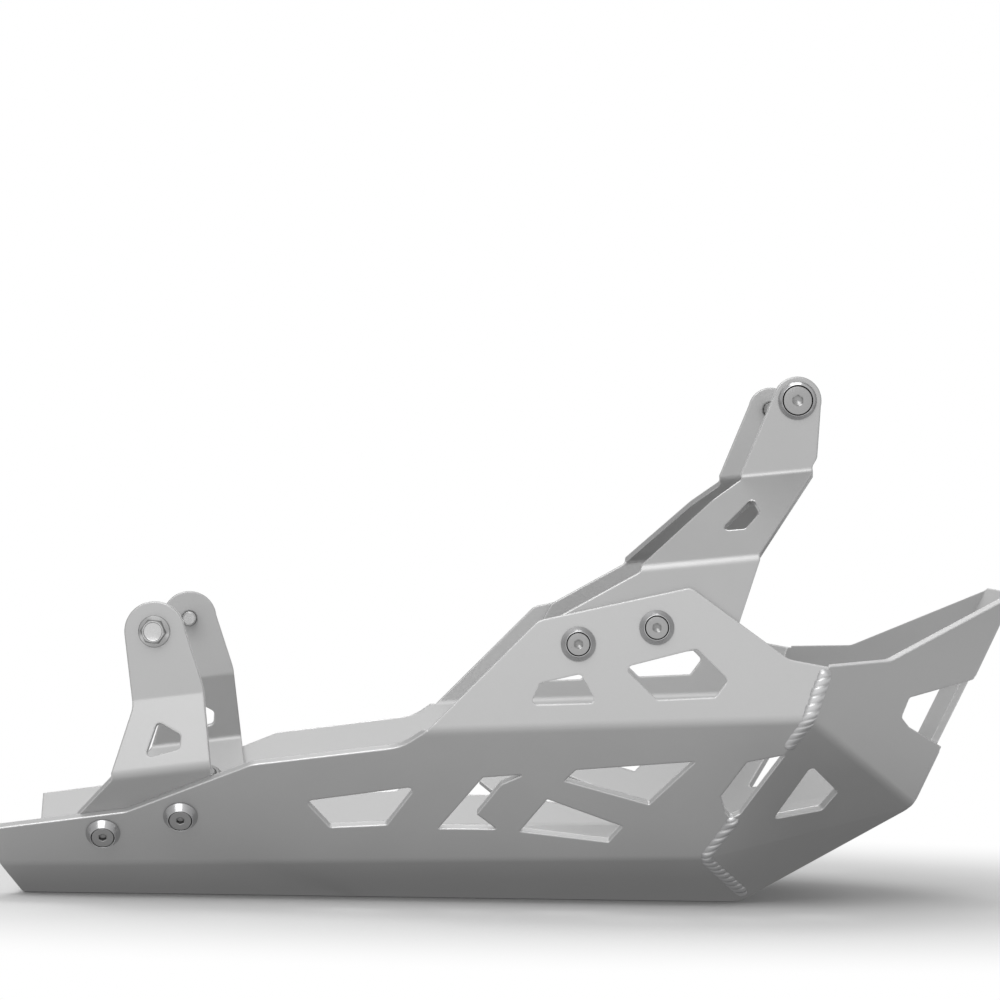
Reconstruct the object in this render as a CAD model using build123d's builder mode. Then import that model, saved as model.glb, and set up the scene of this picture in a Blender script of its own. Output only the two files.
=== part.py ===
from build123d import *

import os
from math import cos, radians, sin, tan

# Motorcycle skid plate: a folded and welded sheet pan on four folded brackets.
# Frame: +X to the front of the motorcycle, +Y to its left, +Z up, in millimetres. The origin lies under the
# middle of the length, on the centre plane, at the underside of the flat floor. The right side (-Y) is drawn
# and the left side mirrors it. A point on a wall is given on the wall's own plane, as (forward, up), seen
# from outside.

# Sheet and folds
SHEET = 4.0
FOLD_RADIUS = 9.5
KNEE_RADIUS = 27.0

# Pan, seen from the side
LENGTH = 550.0
KNEE_X = 126.0
RAMP_ANGLE = 30.4
FRONT_ANGLE = 64.6
FRONT_HEIGHT = 171.0
REAR_FLOOR_SETBACK = 11.5
REAR_SLANT_HEIGHT = 22.0

# Pan, seen from above and in section: width at the floor and the nose, lean of each wall out from the
# vertical, and how much each wall closes in towards the front
FLOOR_WIDTH = 136.0
NOSE_WIDTH = 164.0
CHAMFER_LEAN = 63.0
CHAMFER_TAPER = 4.0
SIDE_LEAN = 34.0
SIDE_TAPER = 2.0

# Corners of the welded seam, in side view (x, z), from the floor up to the top edge
SEAM_FOOT = (130.5, 2.7)
SEAM_LOW = (105.0, 27.0)
SEAM_HIGH = (157.0, 105.0)
SEAM_TOP = (166.0, 133.0)

# Top edge, rear to front: of the side wall, of the wing above it and of the nose cheek
SIDE_EDGE = [(-420.0, 5.0), (-310.5, 24.6), (-244.0, 57.6), (-165.0, 71.0)]
SIDE_EDGE_ROUNDS = [14.0, 14.0, 24.0]
WING_REAR_FOOT = (-201.8, -9.6)
WING_EDGE = [(-144.5, 49.5), (-64.5, 68.5), (-12.0, 31.5)]
WING_EDGE_ROUNDS = [9.0, 6.0, 12.0]
CHEEK_EDGE_BEND = (-50.0, 82.6)
CHEEK_EDGE_ROUND = 16.0

# Openings cut through the walls
VENT_REAR = [(-215.2, 34.3), (-156.0, 45.4), (-171.3, 19.2), (-201.6, 16.8)]
VENT_HOOK = [
    (-144.0, 17.3),
    (-121.2, 52.1),
    (-99.0, 54.6),
    (-111.5, 47.4),
    (-123.6, 27.4),
    (-112.4, 17.6),
]
VENT_LOW = [(-100.4, 16.4), (-86.4, 38.4), (-45.4, 21.0), (-52.5, 10.2)]
VENT_HIGH = [(-78.0, 50.8), (-72.1, 58.2), (-8.8, 65.2), (-32.0, 36.0)]
VENT_SEAM = [(11.9, 28.0), (8.7, 31.7), (5.8, 42.3), (18.3, 65.3)]
VENT_SEAM_ENDS = (30.5, 70.6)
VENT_SEAM_OVERLAP = 0.6
VENT_NOSE = [(29.8, 29.8), (35.2, 70.5), (62.6, 50.0), (59.0, 36.2)]
VENT_WING_REAR = [(-148.0, 5.0), (-143.0, 16.4), (-121.6, 21.7), (-112.8, 6.7)]
VENT_WING_FRONT = [(-99.0, 25.6), (-60.7, 36.2), (-43.9, 20.1), (-50.5, 10.9), (-81.2, 8.9)]
VENT_CHEEK = [(-20.8, 45.4), (-29.6, 51.0), (-26.2, 62.0)]
VENT_ROUND = 2.4
VENT_SHARP_ROUND = 0.5
FRONT_VENT_HEIGHTS = (85.0, 126.0)
FRONT_BAR_WIDTH = 86.0
FRONT_VENT_ROUND = 5.0
DRAIN_X = -60.0
DRAIN_DIAMETER = 36.0

# Welds
BEAD_RADIUS = 3.7
BEAD_SINK = 2.1
BEAD_RIPPLE = 0.5
BEAD_PITCH = 4.6
BEAD_CREST = 0.6
BEAD_END_GAP = 2.5
BEAD_FOOT_GAP = 4.0

# Brackets: fold on the wall, slope of the fold, lean of the middle, its rise and the lug at the top.
# An outline is drawn on its own part of the sheet, from the middle of the lower fold, and runs square
# across the folds.
BRACKET_SHEET = 4.0
BRACKET_BEND = 4.0
REAR_FOLD = (-291.8, 49.2)
REAR_FOLD_SLOPE = 9.4
REAR_LEAN = 12.0
REAR_RISE = 39.7
REAR_BOLT = (4.0, 35.2)
REAR_LUG_RADIUS = 16.0
REAR_FOOT_OUTLINE = [
    (-26.7, 2.0),
    (-26.7, -1.8),
    (-50.0, -24.0),
    (-50.0, -37.0),
    (18.0, -42.0),
    (26.4, -30.0),
    (26.4, 2.0),
]
REAR_FOOT_ROUNDS = [0, 3.0, 5.0, 7.0, 6.0, 6.0, 0]
REAR_MIDDLE_OUTLINE = [(-26.7, -2.0), (-26.7, 1.8), (-12.0, 36.0), (-12.0, 41.7), (26.4, 41.7), (26.4, -2.0)]
REAR_MIDDLE_ROUNDS = [0, 3.0, 16.0, 0, 0, 0]
REAR_LUG_OUTLINE = [(-12.0, -2.0), (26.4, -2.0), (26.4, 3.0), (20.0, 35.2), (-12.0, 35.2)]
REAR_LUG_ROUNDS = [0, 0, 24.0, 0, 0]
REAR_WINDOW = [(0.4, 27.3), (12.2, 18.6), (11.0, 11.0), (-8.2, 7.9)]
FRONT_FOLD = (-59.1, 81.9)
FRONT_FOLD_SLOPE = 6.6
FRONT_LEAN = 40.0
FRONT_RISE = 56.0
FRONT_BOLT = (60.7, 37.6)
FRONT_LUG_RADIUS = 12.9
FRONT_FOOT_OUTLINE = [
    (-32.0, 2.0),
    (-32.0, -1.7),
    (-78.0, -21.5),
    (-84.0, -30.0),
    (-84.0, -50.0),
    (12.0, -45.0),
    (31.0, -1.7),
    (31.0, 2.0),
]
FRONT_FOOT_ROUNDS = [0, 3.0, 6.0, 6.0, 9.0, 9.0, 3.0, 0]
FRONT_MIDDLE_OUTLINE = [
    (-32.0, -2.0),
    (-32.0, 1.7),
    (9.2, 41.0),
    (27.0, 54.3),
    (27.0, 58.0),
    (65.3, 58.0),
    (65.3, 54.3),
    (31.0, 1.7),
    (31.0, -2.0),
]
FRONT_MIDDLE_ROUNDS = [0, 3.0, 30.0, 3.0, 0, 0, 3.0, 3.0, 0]
FRONT_LUG_OUTLINE = [
    (27.0, -2.0),
    (27.0, 1.7),
    (48.4, 41.5),
    (60.7, 37.6),
    (73.6, 37.6),
    (68.3, 6.0),
    (65.3, 1.7),
    (65.3, -2.0),
]
FRONT_LUG_ROUNDS = [0, 3.0, 0, 0, 0, 6.0, 3.0, 0]
FRONT_WINDOW = [(11.3, 20.0), (31.6, 41.2), (34.4, 30.3), (25.2, 19.8)]
WINDOW_ROUND = 2.4

# Pan screws: countersunk, each in a conical washer, with a flange nut behind the bracket
REAR_SCREWS = [(-322.6, 10.4), (-281.3, 22.6)]
FRONT_SCREWS = [(-123.2, 37.5), (-82.1, 47.0)]
SCREW_DIAMETER = 6.0
SCREW_HEAD = 12.0
SCREW_LENGTH = 20.0
SCREW_SOCKET = 4.0
SCREW_SOCKET_DEPTH = 2.4
CONE_BASE = 18.4
CONE_TOP = 13.6
CONE_HEIGHT = 4.4
CONE_EDGE = 0.8
HEAD_DROP = 0.2
SEAT_GAP = 0.05
HOLE_CLEARANCE = 0.3
NECK_RELIEF = 0.2
TIP_CHAMFER = 0.8
NUT_ACROSS = 10.0
NUT_HEIGHT = 6.0
NUT_FLANGE = 14.0
NUT_FLANGE_HEIGHT = 1.4
NUT_CLEARANCE = 0.05

# Frame bolts: a hexagon flange bolt at the rear, a countersunk screw in a cup washer at the front
BOLT_DIAMETER = 8.0
BOLT_REACH = 18.0
BOLT_ACROSS = 12.0
BOLT_HEAD_HEIGHT = 6.6
BOLT_HEAD_DISH = 0.8
BOLT_FLANGE = 17.0
BOLT_FLANGE_HEIGHT = 1.8
CUP_BASE = 20.6
CUP_TOP = 17.0
CUP_HEIGHT = 4.6
CUP_EDGE = 1.2
FRAME_SCREW_HEAD = 15.6
FRAME_SCREW_SOCKET = 5.0
FRAME_SCREW_SOCKET_DEPTH = 3.2

# Length that reaches past the whole pan, and depth that reaches through one wall
REACH = 900.0
THROUGH = 9.0

UP = Vector(0, 0, 1)


def facet(point, outward):
    """Plane of a wall through a point: x runs level to the front, y runs up the wall."""
    return Plane(point, x_dir=UP.cross(outward), z_dir=outward)


def leaning_wall(point, lean, taper):
    """Wall on the right side that leans out from the vertical and closes in towards the front."""
    return facet(point, Vector(0, -1, 0).rotate(Axis.X, lean).rotate(Axis.Z, taper))


def wall_through(first, second, third):
    """Wall on the right side through three corners."""
    outward = (second - first).cross(third - first).normalized()
    return facet(first, outward if outward.Y < 0 else -outward)


def on_wall(wall, x, z):
    """Point of a wall at a place in side view."""
    slope, origin = wall.z_dir, wall.origin
    y = origin.Y - (slope.X * (x - origin.X) + slope.Z * (z - origin.Z)) / slope.Y
    return Vector(x, y, z)


def flat(wall, point):
    """Place of a point on a wall's own plane."""
    spot = wall.to_local_coords(point)
    return Vector(spot.X, spot.Y)


def seat(wall, spot, depth=0.0):
    """Plane of a fastener on a wall, facing out, at a depth below the wall's face."""
    return Plane(wall.from_local_coords((*spot, -depth)), x_dir=wall.x_dir, z_dir=wall.z_dir)


# Walls of the right side, by their outer faces
ramp_rise = tan(radians(RAMP_ANGLE))
front_rise = tan(radians(FRONT_ANGLE))
tip_x = LENGTH / 2
floor_wall = Plane((0, 0, 0), x_dir=(1, 0, 0), z_dir=(0, 0, -1))
ramp_wall = Plane((KNEE_X, 0, 0), x_dir=(0, 1, 0), z_dir=(ramp_rise, 0, -1))
front_wall = Plane((tip_x, 0, FRONT_HEIGHT), x_dir=(0, 1, 0), z_dir=(front_rise, 0, -1))
chamfer_wall = leaning_wall((KNEE_X, -FLOOR_WIDTH / 2, 0), CHAMFER_LEAN, CHAMFER_TAPER)
seam_foot = on_wall(chamfer_wall, *SEAM_FOOT)
seam_low = on_wall(chamfer_wall, *SEAM_LOW)
side_wall = leaning_wall(seam_low, SIDE_LEAN, SIDE_TAPER)
seam_high = on_wall(side_wall, *SEAM_HIGH)
wing_wall = leaning_wall(seam_high, 0, 0)
seam_top = on_wall(wing_wall, *SEAM_TOP)

# The nose corner, where ramp and front meet at the nose's width, and the three cheeks that end there
nose_x = (FRONT_HEIGHT - front_rise * tip_x + ramp_rise * KNEE_X) / (ramp_rise - front_rise)
nose_corner = Vector(nose_x, -NOSE_WIDTH / 2, ramp_rise * (nose_x - KNEE_X))
low_cheek = wall_through(nose_corner, seam_foot, seam_low)
mid_cheek = facet(seam_low, wall_through(seam_low, seam_high, nose_corner).z_dir)
top_cheek = wall_through(nose_corner, seam_high, seam_top)

FOLDS = [
    (floor_wall, chamfer_wall, FOLD_RADIUS),
    (chamfer_wall, side_wall, FOLD_RADIUS),
    (side_wall, wing_wall, FOLD_RADIUS),
    (ramp_wall, low_cheek, FOLD_RADIUS),
    (low_cheek, mid_cheek, FOLD_RADIUS),
    (mid_cheek, top_cheek, FOLD_RADIUS),
    (top_cheek, front_wall, FOLD_RADIUS),
    (floor_wall, ramp_wall, KNEE_RADIUS),
    (ramp_wall, front_wall, KNEE_RADIUS),
]


def space_within(depth):
    """Solid bounded by every wall at a depth below its outer face, with each fold rounded."""
    with BuildPart() as space:
        Box(REACH, REACH, REACH)
        for first, second, radius in FOLDS:
            one, other = first.offset(-depth), second.offset(-depth)
            along = one.z_dir.cross(other.z_dir).normalized()
            turn = radians(one.z_dir.get_angle(other.z_dir))
            edge = Vector(-sin(turn), cos(turn)) * REACH
            back = edge - Vector(cos(turn), sin(turn)) * REACH
            crease = one.intersect(other).position
            with BuildSketch(Plane(crease, x_dir=one.z_dir, z_dir=along)) as section:
                with BuildLine():
                    Polyline((0, 0), edge, back, (-REACH, -REACH), (0, -REACH), close=True)
                make_face()
                fillet(section.vertices().sort_by_distance((0, 0))[0], radius - depth)
            extrude(amount=2 * REACH, both=True, mode=Mode.INTERSECT)
        mirror(about=Plane.XZ, mode=Mode.INTERSECT)
    return space.part


outer_space = space_within(0)
inner_space = space_within(SHEET)

# Places that the pan's edges and openings are tied to
seam_run = flat(side_wall, seam_high)
seam_lift = flat(wing_wall, seam_top)
cheek_seam_high = flat(top_cheek, seam_high)
cheek_seam_top = flat(top_cheek, seam_top)
cheek_tip = flat(top_cheek, on_wall(top_cheek, tip_x, FRONT_HEIGHT))
wing_foot = flat(side_wall, wing_wall.from_local_coords((*WING_REAR_FOOT, 0)))


def corner_at(height):
    """Point at a height on the crease between the top cheek and the front."""
    return on_wall(top_cheek, tip_x - (FRONT_HEIGHT - height) / front_rise, height)


vent_low, vent_high = (corner_at(height) for height in FRONT_VENT_HEIGHTS)
front_corner = Plane(vent_low, x_dir=vent_high - vent_low, z_dir=front_wall.z_dir - top_cheek.z_dir)
past_corner = Vector(2 * SHEET, 0)
seam_overlap = Vector(VENT_SEAM_OVERLAP, 0)
seam_vent_ends = [seam_run * (height / seam_run.Y) + seam_overlap for height in VENT_SEAM_ENDS]
VENTS = [
    (side_wall, VENT_REAR, VENT_ROUND),
    (side_wall, VENT_HOOK, VENT_SHARP_ROUND),
    (side_wall, VENT_LOW, VENT_SHARP_ROUND),
    (side_wall, VENT_HIGH, VENT_SHARP_ROUND),
    (side_wall, VENT_SEAM + seam_vent_ends[::-1], VENT_SHARP_ROUND),
    (mid_cheek, VENT_NOSE, VENT_ROUND),
    (wing_wall, VENT_WING_REAR, VENT_ROUND),
    (wing_wall, VENT_WING_FRONT, VENT_ROUND),
]

# The opening that runs round the corner of cheek and front, one half on each wall
with BuildPart() as cheek_vent:
    with BuildSketch(top_cheek):
        with BuildLine():
            FilletPolyline(
                *VENT_CHEEK,
                flat(top_cheek, vent_high) + past_corner,
                flat(top_cheek, vent_low) + past_corner,
                radius=VENT_ROUND,
                close=True,
            )
        make_face()
    extrude(amount=THROUGH, both=True)
    split(bisect_by=front_corner, keep=Keep.BOTTOM)
with BuildPart() as front_vent:
    with BuildSketch(front_wall):
        with BuildLine():
            front_low = flat(front_wall, vent_low)
            front_high = flat(front_wall, vent_high)
            FilletPolyline(
                (-FRONT_BAR_WIDTH / 2, front_low.Y),
                (-FRONT_BAR_WIDTH / 2, front_high.Y),
                front_high - past_corner,
                front_low - past_corner,
                radius=[FRONT_VENT_ROUND, FRONT_VENT_ROUND, 0, 0],
                close=True,
            )
        make_face()
    extrude(amount=THROUGH, both=True)
    split(bisect_by=front_corner, keep=Keep.TOP)

# The pan: one folded sheet, cut and drilled on the right half, then mirrored
with BuildPart() as skid_pan:
    add(outer_space)
    add(inner_space, mode=Mode.SUBTRACT)
    split(bisect_by=Plane.XZ, keep=Keep.TOP)

    # Rear edge
    with BuildSketch(Plane.XZ):
        with BuildLine():
            Polyline(
                (-tip_x + REAR_FLOOR_SETBACK, -REACH),
                (-tip_x + REAR_FLOOR_SETBACK, 0),
                (-tip_x, REAR_SLANT_HEIGHT),
                (-tip_x, REACH),
                (-2 * REACH, REACH),
                (-2 * REACH, -REACH),
                close=True,
            )
        make_face()
    extrude(amount=REACH, both=True, mode=Mode.SUBTRACT)

    # Top edge of the side wall
    with BuildSketch(side_wall):
        with BuildLine():
            FilletPolyline(
                *SIDE_EDGE,
                wing_foot,
                (wing_foot.X, REACH),
                (SIDE_EDGE[0][0], REACH),
                radius=[0, *SIDE_EDGE_ROUNDS, 0, 0, 0],
                close=True,
            )
        make_face()
    extrude(amount=REACH / 2, both=True, mode=Mode.SUBTRACT)

    # Top edge of the wing, up to the seam
    with BuildSketch(wing_wall):
        with BuildLine():
            FilletPolyline(
                WING_REAR_FOOT,
                *WING_EDGE,
                seam_lift,
                seam_lift.normalized() * REACH,
                (-REACH, REACH),
                (-REACH, WING_REAR_FOOT[1]),
                radius=[0, *WING_EDGE_ROUNDS, 0, 0, 0, 0],
                close=True,
            )
        make_face()
    extrude(amount=REACH / 2, both=True, mode=Mode.SUBTRACT)

    # Top edge of the nose cheek, from the seam to the tip
    with BuildSketch(top_cheek):
        with BuildLine():
            FilletPolyline(
                cheek_seam_top,
                CHEEK_EDGE_BEND,
                cheek_tip + (cheek_tip - Vector(*CHEEK_EDGE_BEND)).normalized() * REACH,
                cheek_seam_top + (cheek_seam_top - cheek_seam_high).normalized() * REACH,
                radius=[0, CHEEK_EDGE_ROUND, 0, 0],
                close=True,
            )
        make_face()
    extrude(amount=REACH / 2, both=True, mode=Mode.SUBTRACT)

    # Top edge of the front
    with BuildSketch(front_wall):
        Rectangle(REACH, REACH, align=(Align.CENTER, Align.MIN))
    extrude(amount=REACH / 4, both=True, mode=Mode.SUBTRACT)

    # Openings in the walls
    for wall, outline, rounding in VENTS:
        with BuildSketch(wall):
            with BuildLine():
                FilletPolyline(*outline, radius=rounding, close=True)
            make_face()
        extrude(amount=THROUGH, both=True, mode=Mode.SUBTRACT)
    add(cheek_vent.part, mode=Mode.SUBTRACT)
    add(front_vent.part, mode=Mode.SUBTRACT)

    # Screw holes
    for wall, spots in ((side_wall, REAR_SCREWS), (wing_wall, FRONT_SCREWS)):
        with BuildSketch(wall):
            with Locations(*spots):
                Circle(SCREW_DIAMETER / 2 + HOLE_CLEARANCE)
        extrude(amount=THROUGH, both=True, mode=Mode.SUBTRACT)

    mirror(about=Plane.XZ)
    with Locations((DRAIN_X, 0, SHEET)):
        Hole(DRAIN_DIAMETER / 2, depth=2 * SHEET)


def run_bead(start, end, sink):
    """Weld bead along a straight seam: a row of ripples about the sunk seam line."""
    along = (end - start).normalized()
    length = (end - start).length
    count = max(2, round(length / BEAD_PITCH))
    pitch = length / count
    crests = []
    for number in range(count):
        crests.append((number * pitch, BEAD_RADIUS - BEAD_RIPPLE))
        crests.append(((number + BEAD_CREST) * pitch, BEAD_RADIUS))
    start_line = Plane(start + sink, x_dir=along, z_dir=along.cross(sink))
    with BuildPart() as bead:
        with BuildSketch(start_line):
            with BuildLine():
                Polyline((0, 0), *crests, (length, BEAD_RADIUS - BEAD_RIPPLE), (length, 0), close=True)
            make_face()
        revolve(axis=Axis(start + sink, along))
    return bead.part


def sunk(first, second):
    """Depth vector from a seam into the sheet, between the faces of its two walls."""
    return -(first.z_dir + second.z_dir).normalized() * BEAD_SINK


def seam_point(height):
    """Point of the seam at a place up the side wall."""
    return side_wall.from_local_coords(seam_run * (height / seam_run.Y))


# Weld beads on the outside of the seam, stopping at the opening that lies on it
foot_run = (seam_low - seam_foot).normalized() * BEAD_FOOT_GAP
top_run = (seam_top - seam_high).normalized() * BEAD_END_GAP
bead_stops = (VENT_SEAM_ENDS[0] - BEAD_END_GAP, VENT_SEAM_ENDS[1] + BEAD_END_GAP)
with BuildPart() as weld_bead:
    add(run_bead(seam_foot + foot_run, seam_low, sunk(chamfer_wall, low_cheek)))
    add(run_bead(seam_low, seam_point(bead_stops[0]), sunk(side_wall, mid_cheek)))
    add(run_bead(seam_point(bead_stops[1]), seam_high, sunk(side_wall, mid_cheek)))
    add(run_bead(seam_high, seam_top - top_run, sunk(wing_wall, top_cheek)))
    add(outer_space, mode=Mode.SUBTRACT)


def folded_bracket(wall, fold, slope, leans, rise, outlines, lug, lug_radius, window, screws):
    """Bracket folded from one strip: a foot on the inside of a wall, a leaning middle and an upright lug.

    Each outline comes with the rounding of its corners. Returns the bracket's part and the outer face of
    its lug.
    """
    inside = wall.offset(-SHEET)
    corner = inside.from_local_coords((*fold, 0))
    along = (inside.x_dir * cos(radians(slope)) + inside.y_dir * sin(radians(slope))).normalized()
    hinge = Axis((0, 0, 0), along)
    foot_face = Plane(corner, x_dir=along, z_dir=inside.z_dir)
    middle_face = Plane(corner, x_dir=along, z_dir=inside.z_dir.rotate(hinge, -leans[0]))
    lug_start = corner + middle_face.y_dir * rise
    lug_face = Plane(lug_start, x_dir=along, z_dir=inside.z_dir.rotate(hinge, -leans[1]))
    lower_fold = Plane(corner, x_dir=along, z_dir=foot_face.y_dir + middle_face.y_dir)
    upper_fold = Plane(lug_start, x_dir=along, z_dir=middle_face.y_dir + lug_face.y_dir)
    foot_outline, middle_outline, lug_outline = outlines

    with BuildPart() as foot:
        with BuildSketch(foot_face):
            with BuildLine():
                FilletPolyline(*foot_outline[0], radius=foot_outline[1], close=True)
            make_face()
        extrude(amount=2 * BRACKET_SHEET, both=True)
        split(bisect_by=lower_fold, keep=Keep.BOTTOM)
    with BuildPart() as middle:
        with BuildSketch(middle_face):
            with BuildLine():
                FilletPolyline(*middle_outline[0], radius=middle_outline[1], close=True)
            make_face()
        extrude(amount=2 * BRACKET_SHEET, both=True)
        split(bisect_by=lower_fold, keep=Keep.TOP)
        split(bisect_by=upper_fold, keep=Keep.BOTTOM)
    with BuildPart() as upright:
        with BuildSketch(lug_face):
            with BuildLine():
                FilletPolyline(*lug_outline[0], radius=lug_outline[1], close=True)
            make_face()
            with Locations(lug):
                Circle(lug_radius)
        extrude(amount=2 * BRACKET_SHEET, both=True)
        split(bisect_by=upper_fold, keep=Keep.TOP)
    with BuildPart() as blank:
        add(foot.part)
        add(middle.part)
        add(upright.part)

    with BuildPart() as bracket:
        profile_plane = Plane(corner, x_dir=inside.z_dir, z_dir=-along)
        with BuildSketch(profile_plane):
            with BuildLine():
                middle_end = profile_plane.to_local_coords(lug_start)
                lug_end = profile_plane.to_local_coords(lug_start + lug_face.y_dir * REACH)
                FilletPolyline(
                    (0, -REACH),
                    (0, 0),
                    (middle_end.X, middle_end.Y),
                    (lug_end.X, lug_end.Y),
                    radius=[BRACKET_BEND + BRACKET_SHEET, BRACKET_BEND],
                )
                offset(amount=BRACKET_SHEET, side=Side.LEFT)
            make_face()
        extrude(amount=2 * REACH, both=True)
        add(blank.part, mode=Mode.INTERSECT)
        with BuildSketch(middle_face):
            with BuildLine():
                FilletPolyline(*window, radius=WINDOW_ROUND, close=True)
            make_face()
        extrude(amount=2 * BRACKET_SHEET, both=True, mode=Mode.SUBTRACT)
        with BuildSketch(lug_face):
            with Locations(lug):
                Circle(BOLT_DIAMETER / 2 + HOLE_CLEARANCE)
        extrude(amount=2 * BRACKET_SHEET, both=True, mode=Mode.SUBTRACT)
        with BuildSketch(inside):
            with Locations(*screws):
                Circle(SCREW_DIAMETER / 2 + HOLE_CLEARANCE)
        extrude(amount=2 * BRACKET_SHEET, both=True, mode=Mode.SUBTRACT)
    return bracket.part, lug_face


rear_part, rear_lug = folded_bracket(
    side_wall,
    REAR_FOLD,
    REAR_FOLD_SLOPE,
    (SIDE_LEAN + REAR_LEAN, SIDE_LEAN),
    REAR_RISE,
    [
        (REAR_FOOT_OUTLINE, REAR_FOOT_ROUNDS),
        (REAR_MIDDLE_OUTLINE, REAR_MIDDLE_ROUNDS),
        (REAR_LUG_OUTLINE, REAR_LUG_ROUNDS),
    ],
    REAR_BOLT,
    REAR_LUG_RADIUS,
    REAR_WINDOW,
    REAR_SCREWS,
)
front_part, front_lug = folded_bracket(
    wing_wall,
    FRONT_FOLD,
    FRONT_FOLD_SLOPE,
    (FRONT_LEAN, 0),
    FRONT_RISE,
    [
        (FRONT_FOOT_OUTLINE, FRONT_FOOT_ROUNDS),
        (FRONT_MIDDLE_OUTLINE, FRONT_MIDDLE_ROUNDS),
        (FRONT_LUG_OUTLINE, FRONT_LUG_ROUNDS),
    ],
    FRONT_BOLT,
    FRONT_LUG_RADIUS,
    FRONT_WINDOW,
    FRONT_SCREWS,
)


def turned(place, outline):
    """Turned solid about a seat's axis, from an outline of (radius, height) points."""
    with BuildPart() as solid:
        with BuildSketch(Plane(place.origin, x_dir=place.x_dir, z_dir=-place.y_dir)):
            with BuildLine():
                Polyline(*outline, close=True)
            make_face()
        revolve(axis=Axis(place.origin, place.z_dir))
    return solid.part


def dished_washer(place, base, top, height, edge, hole, head):
    """Turned washer with a countersink for a screw head that sits just below its top."""
    bore = hole / 2 + HOLE_CLEARANCE
    seat_top = head / 2 + HEAD_DROP + SEAT_GAP
    outline = [(bore, 0), (base / 2, 0), (base / 2, edge), (top / 2, height), (seat_top, height)]
    return turned(place, outline + [(bore, height - seat_top + bore)])


def shank(diameter, grip, length):
    """Outline of a shank below a seat: a relieved neck through what it grips, then the thread to its tip."""
    neck, thread = diameter / 2 - NECK_RELIEF, diameter / 2
    return [
        (0, -length),
        (thread - TIP_CHAMFER, -length),
        (thread, TIP_CHAMFER - length),
        (thread, -grip),
        (neck, -grip),
    ]


def countersunk_screw(place, top, grip, diameter, head, length, socket, socket_depth):
    """Countersunk screw with a hexagon socket, its flat top at a height above its seat."""
    neck, rim = diameter / 2 - NECK_RELIEF, head / 2
    head_outline = [(neck, top - rim + neck), (rim, top), (0, top)]
    with BuildPart() as screw:
        add(turned(place, shank(diameter, grip, length - top) + head_outline))
        with BuildSketch(place.offset(top)):
            RegularPolygon(socket / 2, 6, major_radius=False)
        extrude(amount=-socket_depth, mode=Mode.SUBTRACT)
    return screw.part


def flange_nut(place):
    """Flange nut that hangs inwards from its seat."""
    bore = SCREW_DIAMETER / 2 + NUT_CLEARANCE
    with BuildPart() as nut:
        with BuildSketch(place):
            Circle(NUT_FLANGE / 2)
            Circle(bore, mode=Mode.SUBTRACT)
        extrude(amount=-NUT_FLANGE_HEIGHT)
        with BuildSketch(place):
            RegularPolygon(NUT_ACROSS / 2, 6, major_radius=False)
            Circle(bore, mode=Mode.SUBTRACT)
        extrude(amount=-NUT_HEIGHT)
    return nut.part


def flange_bolt(place):
    """Hexagon flange bolt with a dished head and a shank that reaches in through the lug."""
    flat_radius = BOLT_ACROSS / 2
    corner = flat_radius / cos(radians(30))
    crown = BOLT_HEAD_HEIGHT - BOLT_HEAD_DISH
    head_outline = [
        (0, 0),
        (corner, 0),
        (corner, crown),
        (flat_radius - BOLT_HEAD_DISH, BOLT_HEAD_HEIGHT),
        (flat_radius - 2 * BOLT_HEAD_DISH, crown),
        (0, crown),
    ]
    flange_outline = [
        (BOLT_DIAMETER / 2 - NECK_RELIEF, 0),
        (BOLT_FLANGE / 2, 0),
        (BOLT_FLANGE / 2, BOLT_FLANGE_HEIGHT / 2),
        (corner, BOLT_FLANGE_HEIGHT),
        (0, BOLT_FLANGE_HEIGHT),
    ]
    with BuildPart() as bolt:
        with BuildSketch(place):
            RegularPolygon(flat_radius, 6, major_radius=False)
        extrude(amount=BOLT_HEAD_HEIGHT)
        add(turned(place, head_outline), mode=Mode.INTERSECT)
        add(turned(place, shank(BOLT_DIAMETER, BRACKET_SHEET, BRACKET_SHEET + BOLT_REACH) + flange_outline))
    return bolt.part


def at_each(wall, spots, depth, make):
    """One node of the same fastener at every spot on a wall."""
    with BuildPart() as group:
        for spot in spots:
            add(make(seat(wall, spot, depth)))
    return group.part


def cone_washer(place):
    """Conical washer of a pan screw."""
    return dished_washer(place, CONE_BASE, CONE_TOP, CONE_HEIGHT, CONE_EDGE, SCREW_DIAMETER, SCREW_HEAD)


def pan_screw(place):
    """Screw that holds a bracket to the pan."""
    return countersunk_screw(
        place,
        CONE_HEIGHT - HEAD_DROP,
        SHEET + BRACKET_SHEET,
        SCREW_DIAMETER,
        SCREW_HEAD,
        SCREW_LENGTH,
        SCREW_SOCKET,
        SCREW_SOCKET_DEPTH,
    )


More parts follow.
